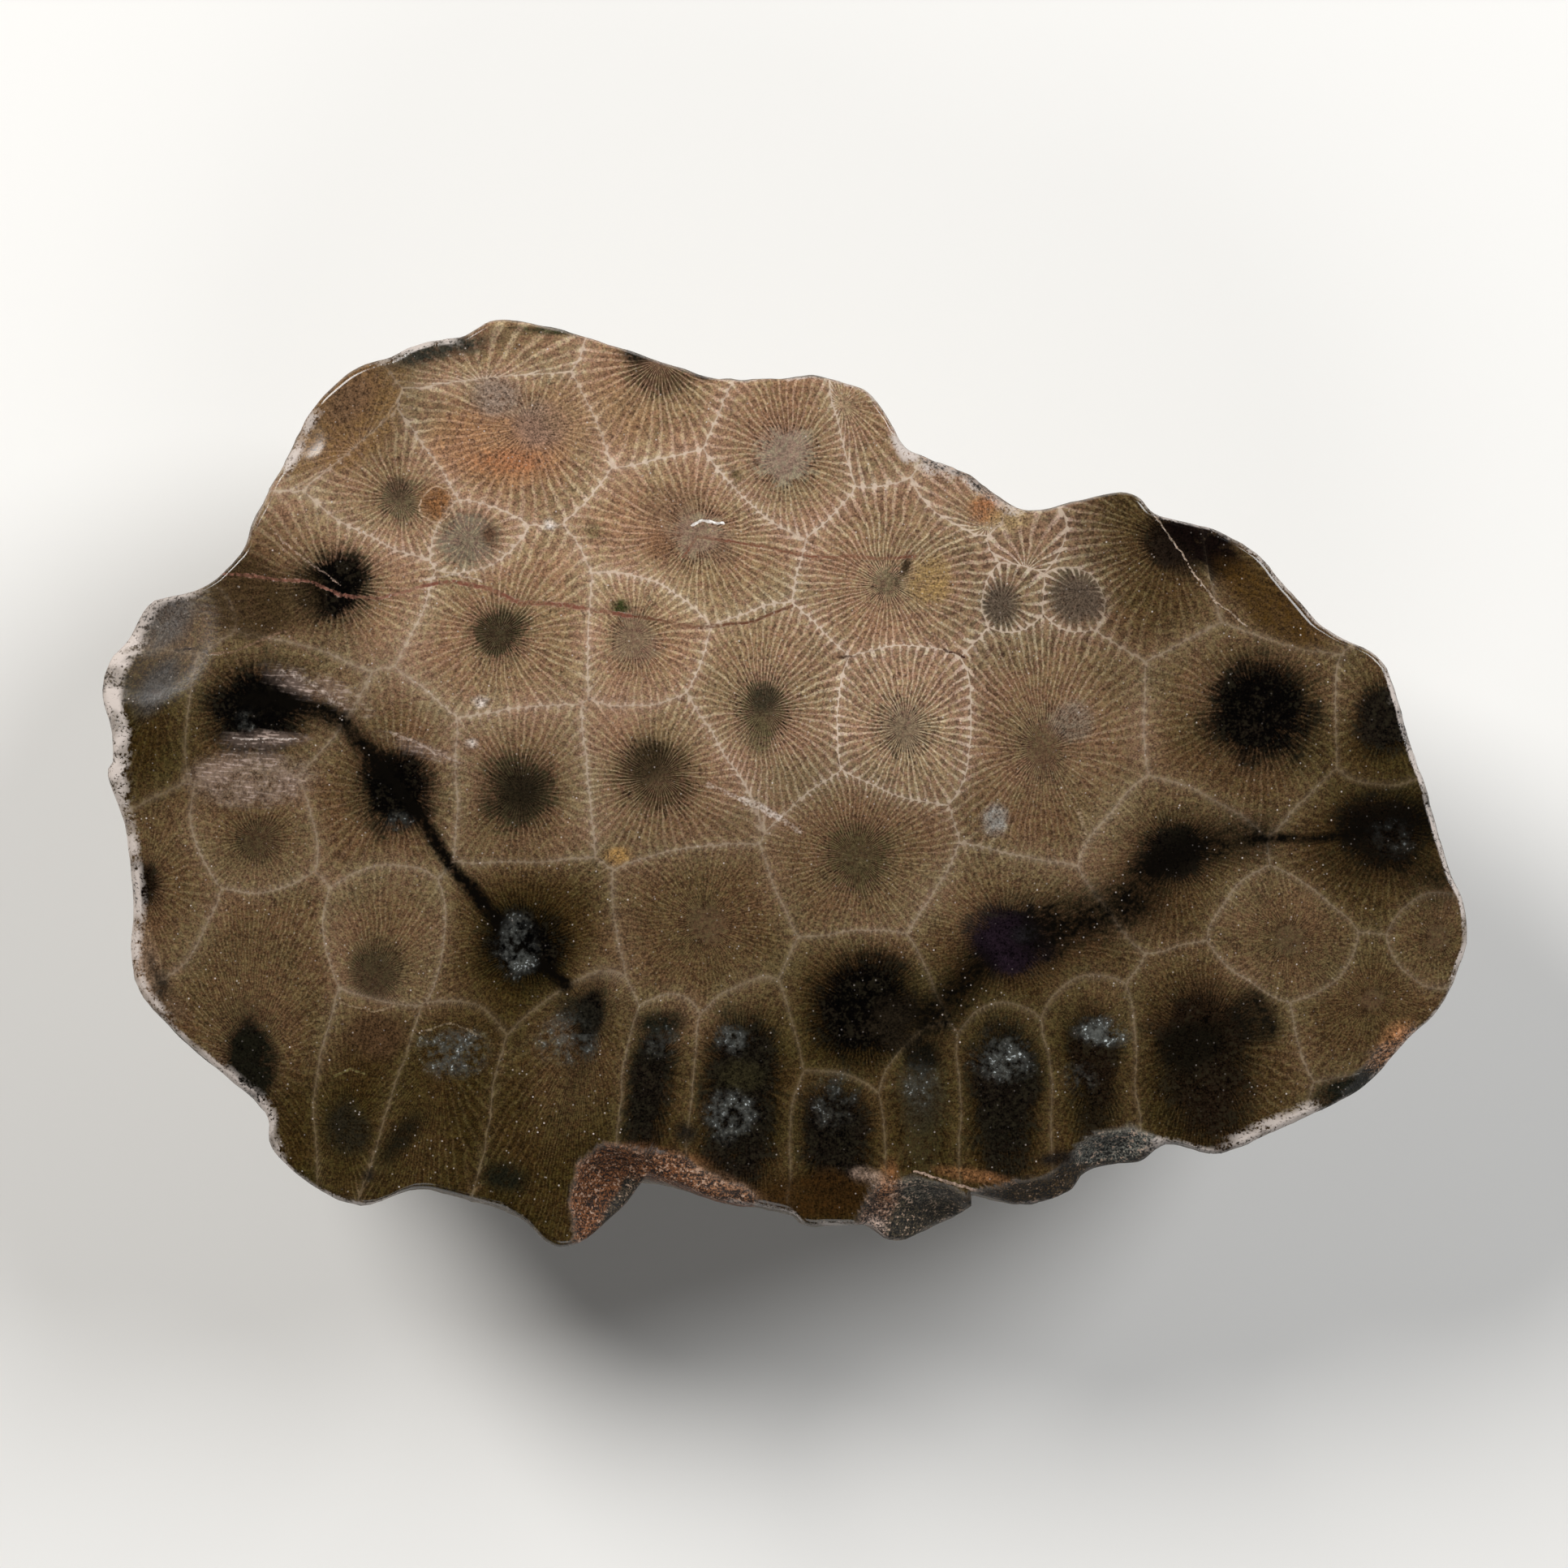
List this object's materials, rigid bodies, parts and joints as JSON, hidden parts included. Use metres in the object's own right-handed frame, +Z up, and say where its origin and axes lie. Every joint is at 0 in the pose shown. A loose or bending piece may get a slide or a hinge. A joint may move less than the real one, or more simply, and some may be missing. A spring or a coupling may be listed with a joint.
{
  "type": "petoskey stone",
  "caption": "Loose cobble of fossil coral, cut and polished on one side, with a scalloped outline and a rounded, weathered base it lies on.",
  "frame": {"origin": "middle of the stone's box, on the surface that it lies on", "axes": "+Z up out of the polished face, the shortest extent; +X along the stone's length, towards its pointed end; +Y across it"},
  "size_m": [0.097, 0.0658, 0.03],
  "materials": {
    "coral_stone": "polished face, weathered sides"
  },
  "bodies": {
    "root": {"petoskey_stone": "coral_stone"}
  },
  "joints": []
}
